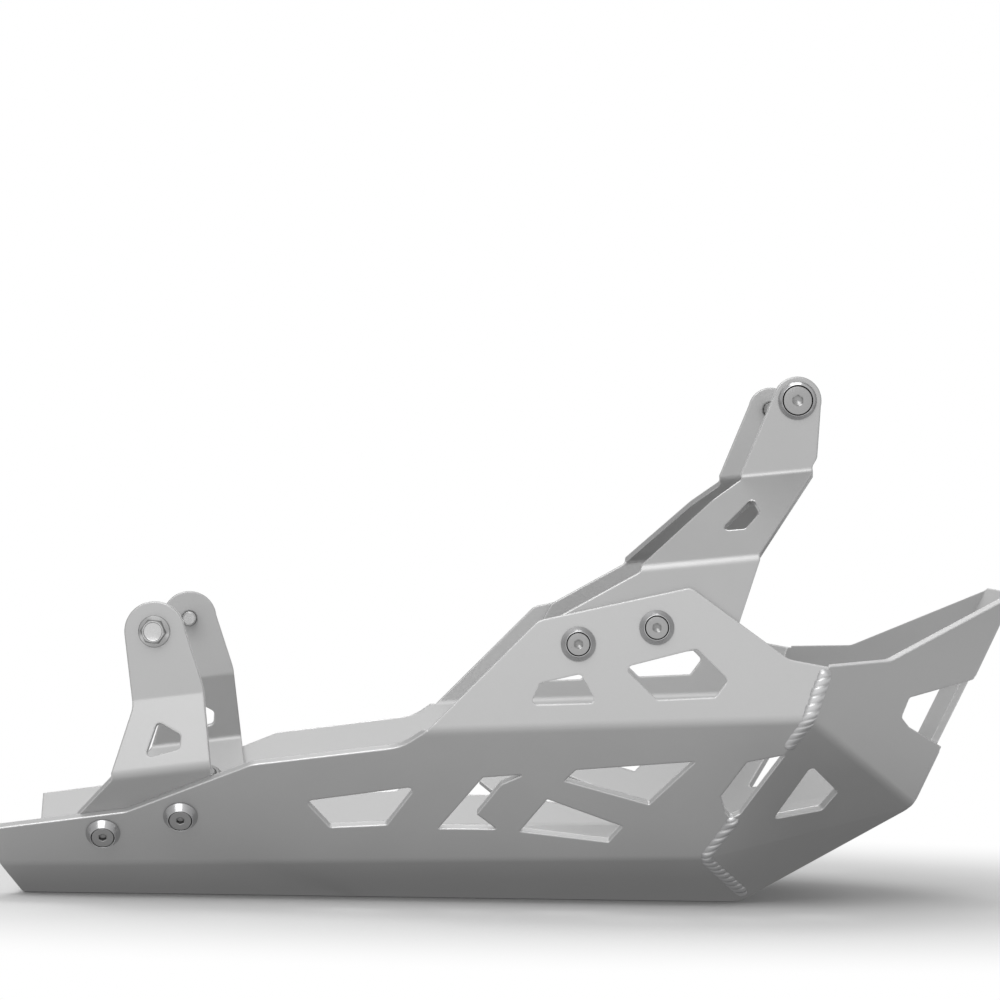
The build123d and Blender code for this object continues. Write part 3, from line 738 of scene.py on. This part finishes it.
@dataclass
class WeldSeam:
    """Weld on the outside of the nose seam: two runs of ripples that stop at the opening between them."""

    finish: Finish
    foot: Point = CHAMFER_WALL.origin
    low: Point = SIDE_WALL.origin
    high: Point = WING_WALL.origin
    top: Point = (166.0, WING_Y, 133.0)
    nose: Point = (220.0, -82.0, 55.1)
    opening: Span = (28.0, 73.1)
    foot_stop: float = 4.0
    top_stop: float = 0.8
    lower: Bead = Bead(radius=3.6, sunk=1.8, pitch=5.7, ripple=0.72, first=0.7, growth=22.0, drip=0.16)
    upper: Bead = Bead(radius=4.3, sunk=3.0, pitch=4.6, ripple=0.38, first=0.2, growth=12.0)
    radius: float = 4.3
    blunt: float = 0.92
    crest_at: float = 0.72
    bow: float = 1.4
    slant: float = 1.7
    drip_at: float = 0.8
    drip_narrow: float = 2.0
    groove_arc: float = 0.72
    unevenness: Profile = ((-0.5, 0.5), (0.96, 1.04), (-0.12, 0.12))
    wander: float = 0.16
    drops: int = 60
    lead: float = 8.0
    seed: int = 41
    step: float = 0.3
    spokes: int = 26
    half_arc: float = 104.0
    sharp: float = 70.0

    def cheek(self, first: Point, second: Point) -> Vector:
        """Outward direction of the nose cheek through two points of the seam."""
        across = (Vector(first) - Vector(self.nose)).cross(Vector(second) - Vector(self.nose)).normalized()
        return across if across.y < 0 else -across

    def seam_point(self, up: float) -> Vector:
        """Point of the seam.

        Args:
            up: distance up the side wall from its foot.

        Returns:
            The point in millimetres.
        """
        whole = Vector(self.high) - Vector(self.low)
        slope = SIDE_WALL.outward.cross(SIDE_WALL.at(1.0, 0.0) - SIDE_WALL.at(0.0, 0.0))
        return Vector(self.low) + whole * (up / whole.dot(slope))

    def runs(self) -> list[list[tuple[Vector, Vector]]]:
        """Corners of the two runs, each with the way out of the seam there.

        Returns:
            The lower run from the foot up, and the upper run from the opening up.
        """
        foot, low, high, top = (Vector(point) for point in (self.foot, self.low, self.high, self.top))
        below = (CHAMFER_WALL.outward + self.cheek(self.foot, self.low)).normalized()
        beside = (SIDE_WALL.outward + self.cheek(self.low, self.high)).normalized()
        above = (WING_WALL.outward + self.cheek(self.high, self.top)).normalized()
        start = foot + (low - foot).normalized() * self.foot_stop
        end = top - (top - high).normalized() * self.top_stop
        lower, upper = (self.seam_point(stop) for stop in self.opening)
        return [
            [(start, below), (low, (below + beside).normalized()), (lower, beside)],
            [(upper, beside), (high, (beside + above).normalized()), (end, above)],
        ]

    def trail(self, corners: list[tuple[Vector, Vector]]) -> list[tuple[Vector, Vector]]:
        """Even steps along a run, eased round its bend.

        Args:
            corners: points of the run and the way out at each.

        Returns:
            Points a step apart and the way out at each.
        """
        steps: list[tuple[Vector, Vector]] = []
        for (start, out), (end, out_end) in zip(corners, corners[1:]):
            count = max(2, round((end - start).length / self.step))
            for index in range(count):
                share = index / count
                steps.append((start.lerp(end, share), out.lerp(out_end, share)))
        steps.append(corners[-1])
        reach = round(self.radius / self.step)
        eased = []
        for index in range(len(steps)):
            span = min(reach, index, len(steps) - 1 - index)
            near = steps[index - span:index + span + 1]
            middle = sum((point for point, _ in near), Vector()) / len(near)
            outward = sum((out for _, out in near), Vector()).normalized()
            eased.append((middle, outward))
        return eased

    def taper(self, run: float, length: float) -> float:
        """Share of the full radius at a place along a run, rounded off at both ends."""
        end_gap = min(run, length - run) / self.radius
        return math.sqrt(max(0.0, 1.0 - max(0.0, self.blunt - end_gap) ** 2))

    def rise(self, share: float) -> float:
        """Height on a ripple: a slow climb and a quick fall.

        Args:
            share: place along the ripple, from 0 to 1.

        Returns:
            The height, from 0 to 1.
        """
        if share < self.crest_at:
            return math.sin(share / self.crest_at * math.pi / 2.0)
        return math.cos((share - self.crest_at) / (1.0 - self.crest_at) * math.pi / 2.0)

    def run_skin(
        self, corners: list[tuple[Vector, Vector]], bead: Bead, dice: random.Random, turn: int
    ) -> Skin:
        """Rippled bead along one run.

        Args:
            corners: points of the run and the way out at each.
            bead: form of the run.
            dice: seeded source of the hand-made unevenness.
            turn: 1 or -1, the way that the ripples slant.

        Returns:
            The closed skin of the bead, with the height on the ripple as its figures.
        """
        trail = self.trail(corners)
        length = self.step * (len(trail) - 1)
        drops = [[dice.uniform(*span) for span in self.unevenness] for _ in range(self.drops)]
        made = Skin()
        half = math.radians(self.half_arc)
        arc = [half * (2.0 * spoke / (self.spokes - 1) - 1.0) for spoke in range(self.spokes)]
        for index, (middle, out) in enumerate(trail):
            run = index * self.step
            ahead = trail[min(index + 1, len(trail) - 1)][0] - trail[max(index - 1, 0)][0]
            across = ahead.cross(out).normalized()
            slant = self.slant * ahead.normalized().x * self.radius * turn
            bulb = math.exp(-((length - run) / self.radius - self.drip_at) ** 2 * self.drip_narrow)
            swell = 1.0 + bead.drip * bulb
            strength = bead.ripple * min(1.0, bead.first + run / bead.growth)
            taper = self.taper(run, length)
            for angle in arc:
                place = (run - self.bow * math.cos(angle) - slant * math.sin(angle)) / bead.pitch + self.lead
                shift, fullness, stray = drops[int(place)]
                rise = self.rise((place + self.wander * shift) % 1.0)
                groove = strength * (1.0 - rise) * max(0.0, math.cos(angle * self.groove_arc))
                bulge = (bead.radius * fullness * swell - groove) * taper
                side = bulge * math.sin(angle) + stray * taper
                lift = bulge * math.cos(angle) - bead.sunk
                made.points.append(middle + across * side + out * lift)
                made.figures.append(rise)
        rows = len(trail)
        for row in range(rows - 1):
            near, far = row * self.spokes, (row + 1) * self.spokes
            for spoke in range(self.spokes):
                after = (spoke + 1) % self.spokes
                made.faces.append((near + spoke, near + after, far + after, far + spoke))
        made.faces.append(tuple(range(self.spokes - 1, -1, -1)))
        made.faces.append(tuple(range((rows - 1) * self.spokes, rows * self.spokes)))
        return made

    def build(self, side: Side) -> bpy.types.Object:
        """Make the weld of one side in place of its plain solid.

        Args:
            side: side of the motorcycle.

        Returns:
            The weld's object.
        """
        dice = random.Random(self.seed + side.value)
        whole = Skin()
        for corners, bead in zip(self.runs(), (self.lower, self.upper)):
            placed = [(side.place(point), side.place(out)) for point, out in corners]
            whole.add(self.run_skin(placed, bead, dice, side.value), Matrix.Identity(4))
        return self.dress(whole, side)

    def dress(self, whole: Skin, side: Side) -> bpy.types.Object:
        """Give the weld its finish and its place in the frame."""
        made = whole.object(f"nose_weld_{side.word}", self.finish, "crest", self.sharp)
        return settle(made, Slot.WELD, f"weld_bead_{side.word}")


def settle(piece: bpy.types.Object, slot: Slot, *nodes: str) -> bpy.types.Object:
    """Let a piece ride on the frame in place of plain solids.

    Args:
        piece: the new piece.
        slot: not used.
        nodes: solids that it stands for.

    Returns:
        The piece.
    """
    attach(piece, "root")
    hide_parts(*nodes)
    LOG.info("%s: %d faces, stands for %s", piece.name, len(piece.data.polygons), ", ".join(nodes))
    return piece


FLANGE_FOOT: Profile = ((0.0, -0.15), (0.15, 0.0))


@dataclass(frozen=True)
class CountersunkScrew:
    """Countersunk screw with a hexagon socket; its seat lies at height 0."""

    top: float
    rim: float
    neck: float
    neck_top: float
    thread_start: float
    tip: float
    thread_radius: float
    pitch: float
    socket: float
    socket_depth: float
    MIDDLE = 0.02
    DRILL = (0.47, 0.2)
    DRILL_EDGE = 0.04
    MOUTH = (0.58, 0.22)
    MOUTH_DROP = 0.28
    MOUTH_FLAT = ((0.0, 0.0), (-0.25, 0.0))
    RIM_ROUND = ((0.55, 0.0), (0.22, 0.06), (0.05, 0.2), (0.0, 0.4), (0.0, 0.65))
    NECK_ROUND = ((-0.1, 0.0), (0.0, 0.3))

    def skin(self) -> Skin:
        """Join the screw's rings.

        Returns:
            The closed skin.
        """
        floor = self.top - self.socket_depth
        drill, point = (self.socket * share for share in self.DRILL)
        turning = Turning()
        turning.circles((self.MIDDLE, floor - point), (drill, floor - self.DRILL_EDGE))
        turning.hexagon(self.socket, floor)
        turning.hexagon(self.socket, self.top - self.MOUTH_DROP)
        turning.rounded(self.socket * self.MOUTH[0] + self.MOUTH[1], self.top, self.MOUTH_FLAT)
        turning.rounded(self.rim, self.top, self.RIM_ROUND)
        turning.rounded(self.neck, self.neck_top, self.NECK_ROUND)
        turning.thread(self.neck, self.thread_start, self.tip, self.thread_radius, self.pitch)
        return turning.skin()


@dataclass(frozen=True)
class RaisedWasher:
    """Turned washer with a sloping rim and a countersunk seat for its screw; it stands on height 0."""

    base: float
    edge: float
    top: float
    height: float
    sink: float
    bore: float
    bore_depth: float
    wall: float
    SINK_STEP = ((0.1, 0.0), (0.0, -0.05))
    SINK_ROUND = ((0.0, 0.1), (-0.1, 0.0))
    LIP_ROUND = ((0.16, 0.0), (0.04, 0.06), (-0.05, 0.2))
    EDGE_ROUND = ((0.08, -0.12), (0.0, 0.06))
    FOOT_ROUND = ((0.0, -0.14), (0.14, 0.0))

    def skin(self) -> Skin:
        """Join the washer's rings.

        Returns:
            The closed skin.
        """
        turning = Turning()
        turning.circles((self.bore, 0.0), (self.bore, self.bore_depth))
        turning.rounded(self.sink, self.height - self.wall, self.SINK_STEP)
        turning.rounded(self.sink, self.height, self.SINK_ROUND)
        turning.rounded(self.top, self.height, self.LIP_ROUND)
        turning.rounded(self.base, self.edge, self.EDGE_ROUND)
        turning.rounded(self.base, 0.0, self.FOOT_ROUND)
        return turning.skin(ringed=True)


@dataclass(frozen=True)
class FlangeNut:
    """Hexagon nut with a flange, its seat at height 0 and its top upwards."""

    flange: float = 7.0
    flange_edge: float = 0.9
    bevel: float = 0.25
    cone_rise: float = 0.5
    across: float = 10.0
    height: float = 6.0
    shoulder_in: float = 0.12
    crown_drop: float = 0.1
    crown_slope: float = 0.58
    bore: float = 3.05
    bore_edge: float = 0.3
    BORE_ROUND = ((0.0, 0.5), (-0.45, 0.0))
    CROWN_ROUND = ((0.3, 0.0), (0.0, 0.02))

    def skin(self) -> Skin:
        """Join the nut's rings, chamfered at the corners and countersunk at the bore.

        Returns:
            The closed skin.
        """
        lip = self.flange - self.bevel
        slope = self.cone_rise / (lip - hexagon_radius(self.across, 0.0))
        shoulder = self.across / 2.0 - self.shoulder_in
        turning = Turning()
        turning.circles((self.bore, self.bore_edge))
        turning.rounded(self.bore, self.height, self.BORE_ROUND)
        turning.rounded(shoulder, self.height, self.CROWN_ROUND)
        turning.hexagon(self.across, self.height - self.crown_drop, shoulder, self.crown_slope)
        turning.hexagon(self.across, self.flange_edge, lip, slope)
        turning.circles((lip, self.flange_edge), (self.flange, self.flange_edge - self.bevel))
        turning.rounded(self.flange, 0.0, FLANGE_FOOT)
        turning.circles((self.bore + self.bore_edge, 0.0))
        return turning.skin(ringed=True)


@dataclass(frozen=True)
class FlangeBolt:
    """Hexagon bolt with a flange, a dished head and a free thread; its seat lies at height 0."""

    across: float = 12.0
    height: float = 6.6
    rim_share: float = 0.465
    crown_drop: float = 0.2
    crown_slope: float = 0.8
    dish: float = 0.8
    dish_middle: float = 0.5
    fillet: float = 0.1
    flange: float = 8.5
    flange_edge: float = 0.9
    flange_drop: float = 0.3
    cone_top: float = 1.8
    bevel: float = 0.5
    neck: float = 3.8
    thread_start: float = -4.0
    tip: float = -22.0
    thread_radius: float = 4.0
    pitch: float = 1.25
    DISH_ROUND = ((1.1, 0.0), (0.8, -0.1))
    RIM_ROUND = ((0.5, 0.12), (0.38, 0.0), (0.12, 0.0), (0.0, 0.08))
    NECK_ROUND = ((-0.3, 0.0), (0.0, 0.25))

    def skin(self) -> Skin:
        """Join the bolt's rings.

        Returns:
            The closed skin, with 1 on the hexagon's flanks and the flange's rim, which get painted shade, and
            0 elsewhere as its figures.
        """
        corner = hexagon_radius(self.across, 0.0)
        rim = self.across * self.rim_share
        lip = self.flange - self.bevel
        slope = (self.cone_top - self.flange_edge) / (lip - corner)
        floor = self.height - self.dish
        turning = Turning()
        turning.circles((self.dish_middle, floor))
        turning.rounded(rim, floor, self.DISH_ROUND)
        turning.rounded(rim, self.height, self.RIM_ROUND)
        turning.hexagon(self.across, self.height - self.crown_drop, rim, self.crown_slope)
        for across in (self.across, self.across + self.fillet):
            turning.hexagon(across, self.flange_edge, lip, slope)
        turning.circles((lip, self.flange_edge), (self.flange, self.flange_edge - self.flange_drop))
        turning.rounded(self.flange, 0.0, FLANGE_FOOT)
        turning.rounded(self.neck, 0.0, self.NECK_ROUND)
        turning.thread(self.neck, self.thread_start, self.tip, self.thread_radius, self.pitch)
        made = turning.skin()
        # Rings at the hexagon's corners and the flange's rim carry painted shade
        dark = [float(ring[0][0] in (corner, self.flange)) for ring in turning.rings]
        made.figures = [mark for mark in dark for _ in range(turning.SPOKES)]
        return made


PAN_SCREW = CountersunkScrew(
    top=4.2, rim=5.95, neck=2.8, neck_top=1.0, thread_start=-13.2, tip=-15.8,
    thread_radius=3.0, pitch=1.0, socket=4.0, socket_depth=2.4,
)
FRAME_SCREW = CountersunkScrew(
    top=4.4, rim=7.65, neck=3.8, neck_top=0.0, thread_start=-4.0, tip=-22.0,
    thread_radius=4.0, pitch=1.25, socket=5.0, socket_depth=3.2,
)
CONE_WASHER = RaisedWasher(
    base=9.2, edge=0.8, top=6.8, height=4.4, sink=6.42, bore=3.3, bore_depth=1.25, wall=0.9
)
CUP_WASHER = RaisedWasher(
    base=10.3, edge=1.2, top=8.5, height=4.6, sink=8.2, bore=4.3, bore_depth=0.3, wall=1.1
)


class Fastening:
    """Fasteners that stand for solids of the frame."""

    def dress(
        self, node: str, shape: Skin, places: list[Matrix], finish: Finish, slot: Slot, figure: str = "run"
    ) -> None:
        """Set one kind of piece on every place.

        Args:
            node: name of the solids that the pieces stand for.
            shape: skin of one piece.
            places: where each piece goes, in millimetres.
            finish: finish of the pieces.
            slot: material slot they belong to.
            figure: what the skin's vertex figures stand for.
        """
        whole = Skin()
        for place in places:
            whole.add(shape, place)
        settle(whole.object(f"{node}_made", finish, figure, TURNED_SHARP), slot, node)


@dataclass
class PanFastening(Fastening):
    """The screws, washers and nuts that hold one bracket to the pan."""

    where: str
    seats: list[Seat]
    grip: float = 8.0
    screw: CountersunkScrew = PAN_SCREW
    washer: RaisedWasher = CONE_WASHER
    nut: FlangeNut = FlangeNut()

    def build(self, side: Side) -> None:
        """Make the screws, washers and nuts of one side.

        Args:
            side: side of the motorcycle.
        """
        flip = Matrix.Rotation(math.pi, 4, "X")
        outside = [seat.matrix(side) for seat in self.seats]
        inside = [seat.matrix(side, self.grip) @ flip for seat in self.seats]
        kinds = ("pan_screws", "cone_washers", "flange_nuts")
        screws, washers, nuts = (f"{self.where}_{kind}_{side.word}" for kind in kinds)
        self.dress(screws, self.screw.skin(), outside, STEEL_FINISH, Slot.FASTENER)
        self.dress(washers, self.washer.skin(), outside, WASHER_FINISH, Slot.WASHER)
        self.dress(nuts, self.nut.skin(), inside, STEEL_FINISH, Slot.FASTENER)


@dataclass
class FrameFastening(Fastening):
    """The bolt or screw in each lug that holds the plate to the motorcycle."""

    rear: Seat
    front: Seat
    bolt: FlangeBolt = FlangeBolt()
    screw: CountersunkScrew = FRAME_SCREW
    washer: RaisedWasher = CUP_WASHER

    def build(self, side: Side) -> None:
        """Make the bolt, the screw and its washer on one side.

        Args:
            side: side of the motorcycle.
        """
        word = side.word
        rear, front = ([seat.matrix(side)] for seat in (self.rear, self.front))
        self.dress(f"rear_frame_bolt_{word}", self.bolt.skin(), rear, BOLT_FINISH, Slot.FASTENER, "painted_shade_rings")
        self.dress(f"front_frame_screw_{word}", self.screw.skin(), front, STEEL_FINISH, Slot.FASTENER)
        self.dress(f"front_cup_washer_{word}", self.washer.skin(), front, WASHER_FINISH, Slot.WASHER)


@dataclass(frozen=True)
class Softbox:
    """Square soft lamp that looks at the object."""

    name: str
    spot: Point
    size: float
    power: float

    def hang(self) -> None:
        """Put the lamp in the scene."""
        light = bpy.data.lights.new(self.name, "AREA")
        light.shape = "SQUARE"
        light.size = self.size
        light.energy = self.power
        lamp = bpy.data.objects.new(self.name, light)
        lamp.location = self.spot
        lamp.rotation_euler = (-Vector(self.spot)).to_track_quat("-Z", "Y").to_euler()
        bpy.context.scene.collection.objects.link(lamp)


@dataclass
class Studio:
    """Pale floor, soft light and the camera of the side view."""

    floor_size: float = 30.0
    floor_drop: float = 0.4
    floor_colour: Colour = (0.66, 0.66, 0.66)
    floor_squeeze: Point = (0.7, 1.0, 1.0)
    floor_white: Span = (0.22, 0.50)
    end_turn: Span = (0.45, 0.9)
    end_reach: Span = (0.35, 0.7)
    end_shade: float = 0.58
    # Painted reflection of the near floor in the metal: its reach, the zones of painted shadow under the pan
    # and ahead of the ramp, and its two greys
    mirror_reach: Span = (0.19, 0.34)
    mirror_under: Span = (0.09, 0.17)
    mirror_ahead: Span = (0.07, 0.14)
    mirror_painted_grey: Colour = (0.54, 0.54, 0.54)
    mirror_painted_shadow: Colour = (0.27, 0.27, 0.27)
    fill: float = 0.85
    side_band: Span = (0.15, 1.0)
    side_shade: float = 0.45
    top_band: Span = (0.45, 1.0)
    top_shade: float = 0.25
    lamps: tuple[Softbox, ...] = (
        Softbox("front_softbox", (-0.6, -1.9, 1.6), 1.6, 16.5),
        Softbox("back_softbox", (0.0, 0.9, 2.1), 1.2, 9.0),
    )
    camera_spot: Point = (-9.0, -2775.0, 217.5)
    camera_roll: float = 1.15
    focal: float = 177.84
    sensor: float = 36.0

    def build(self) -> None:
        """Make floor, light and camera."""
        self.floor()
        self.world()
        for lamp in self.lamps:
            lamp.hang()
        self.camera()
        bpy.context.scene.view_settings.view_transform = "Standard"

    def floor(self) -> None:
        """Lay the floor a hair below the part."""
        half = self.floor_size / 2.0
        drop = -self.floor_drop * MM
        corners = [(-half, -half, drop), (half, -half, drop), (half, half, drop), (-half, half, drop)]
        mesh = bpy.data.meshes.new("studio_floor")
        mesh.from_pydata(corners, [], [(0, 1, 2, 3)])
        ground = bpy.data.objects.new("studio_floor", mesh)
        bpy.context.scene.collection.objects.link(ground)
        mesh.materials.append(self.paper())

    def paper(self) -> bpy.types.Material:
        """Make the floor's material.

        It takes the shadow near the part and turns white further out, with shaded ends. In the metal, the
        near floor shows as a painted reflection: an even grey glow, with painted shadow under the pan and
        ahead of the ramp.

        Returns:
            The material.
        """
        made = bpy.data.materials.new("floor_paper")
        made.use_nodes = True
        graph = Graph(made.node_tree)
        spot = graph.scaled_place(1.0)
        squeeze = {"operation": "MULTIPLY"}
        place = graph.out(graph.node("ShaderNodeVectorMath", squeeze, {0: spot, 1: self.floor_squeeze}))
        away = graph.out(graph.node("ShaderNodeVectorMath", {"operation": "LENGTH"}, {0: place}), "Value")
        parts = graph.node("ShaderNodeSeparateXYZ", None, {0: place})
        across = graph.math("ABSOLUTE", graph.out(parts, "X"))
        sideways = graph.band(graph.math("DIVIDE", across, away), *self.end_turn)
        ends = sideways * graph.band(away, *self.end_reach)
        matt = graph.node("ShaderNodeBsdfDiffuse", None, {"Color": (*self.floor_colour, 1.0)})
        shaded = (1.0 - self.end_shade,) * 3
        white = graph.node("ShaderNodeEmission", None, {"Color": graph.mix(ends, (1.0, 1.0, 1.0), shaded)})
        far = graph.band(away, *self.floor_white) * self.seen(graph)
        blend = graph.node("ShaderNodeMixShader", None, {0: far, 1: graph.out(matt), 2: graph.out(white)})
        # Painted reflection: glossy rays see the near floor as an even grey glow, with painted shadow under
        # the pan and ahead of the ramp
        beneath = 1 - graph.band(graph.math("ABSOLUTE", graph.out(parts, "Y")), *self.mirror_under)
        ahead = graph.band(graph.out(parts, "X"), *self.mirror_ahead)
        shade = graph.mix(graph.math("MAXIMUM", beneath, ahead), self.mirror_painted_grey, self.mirror_painted_shadow)
        painted_reflection = graph.node("ShaderNodeEmission", None, {"Color": shade})
        metal = graph.out(graph.node("ShaderNodeLightPath"), "Is Glossy Ray")
        near = metal * (1 - graph.band(away, *self.mirror_reach))
        shown = graph.node("ShaderNodeMixShader", None, {0: near, 1: graph.out(blend), 2: graph.out(painted_reflection)})
        graph.node("ShaderNodeOutputMaterial", None, {"Surface": graph.out(shown)})
        return made

    def seen(self, graph: Graph) -> Wire:
        """Mask of the rays that show the background: straight, mirrored or through glass.

        Args:
            graph: the graph that asks.

        Returns:
            Wire with 1 on those rays.
        """
        path = graph.node("ShaderNodeLightPath")
        rays = [graph.out(path, name) for name in ("Is Camera Ray", "Is Glossy Ray", "Is Transmission Ray")]
        return graph.math("MAXIMUM", graph.math("MAXIMUM", rays[0], rays[1]), rays[2])

    def world(self) -> None:
        """Set a white surround, a little darker to the sides and overhead."""
        sky = bpy.data.worlds.new("studio_surround")
        sky.use_nodes = True
        graph = Graph(sky.node_tree)
        way = graph.out(graph.node("ShaderNodeTexCoord"), "Generated")
        parts = graph.node("ShaderNodeSeparateXYZ", None, {0: way})
        sideways = graph.band(graph.math("ABSOLUTE", graph.out(parts, "X")), *self.side_band)
        upwards = graph.band(graph.out(parts, "Z"), *self.top_band)
        level = 1 - sideways * self.side_shade - upwards * self.top_shade
        seen = self.seen(graph)
        strength = level * seen + (1 - seen) * self.fill
        back = graph.node("ShaderNodeBackground", None, {"Color": (1.0, 1.0, 1.0, 1.0), "Strength": strength})
        graph.node("ShaderNodeOutputWorld", None, {"Surface": graph.out(back)})
        bpy.context.scene.world = sky

    def camera(self) -> None:
        """Set the camera square to the right-hand side, a little tilted as in the view."""
        lens = bpy.data.cameras.new("side_camera")
        lens.sensor_fit = "HORIZONTAL"
        lens.sensor_width = self.sensor
        lens.lens = self.focal
        eye = bpy.data.objects.new("side_camera", lens)
        upright = Matrix.Rotation(math.radians(90.0), 4, "X")
        look = upright @ Matrix.Rotation(math.radians(self.camera_roll), 4, "Z")
        eye.matrix_world = Matrix.Translation(Vector(self.camera_spot) * MM) @ look
        bpy.context.scene.collection.objects.link(eye)
        bpy.context.scene.camera = eye


def both(*stems: str) -> tuple[str, ...]:
    """Names of the pieces with these stems on both sides."""
    return tuple(f"{stem}_{side.word}" for stem in stems for side in Side)


def main() -> None:
    """Build every piece and the studio."""
    logging.basicConfig(level=logging.INFO, format="%(name)s %(message)s")
    Studio().build()
    Sheetwork(("skid_pan",), PAN_FINISH).build()
    Sheetwork(both("rear_bracket"), REAR_BRACKET_SHADED_FINISH).build()
    Sheetwork(both("front_bracket"), FRONT_BRACKET_SHADED_FINISH).build()
    rear_seats = [
        Seat(SIDE_WALL.at(-322.6, 10.4), SIDE_WALL.outward, 30.0),
        Seat(SIDE_WALL.at(-281.3, 22.6), SIDE_WALL.outward, 26.0),
    ]
    front_seats = [
        Seat(Vector((33.8, WING_Y, 142.5)), WING_WALL.outward, 31.0),
        Seat(Vector((74.9, WING_Y, 152.0)), WING_WALL.outward, 28.0),
    ]
    rear_lug = Seat(Vector((-191.389, -148.829, 143.968)), Vector((-0.056522, -0.998382, -0.006225)), -5.0)
    front_lug = Seat(Vector((148.945, -133.42, 273.842)), WING_WALL.outward, 30.0)
    for side in Side:
        WeldSeam(WELD_FINISH).build(side)
        PanFastening("rear", rear_seats).build(side)
        PanFastening("front", front_seats).build(side)
        FrameFastening(rear_lug, front_lug).build(side)
    bpy.context.view_layer.update()


if __name__ == "__main__":
    main()
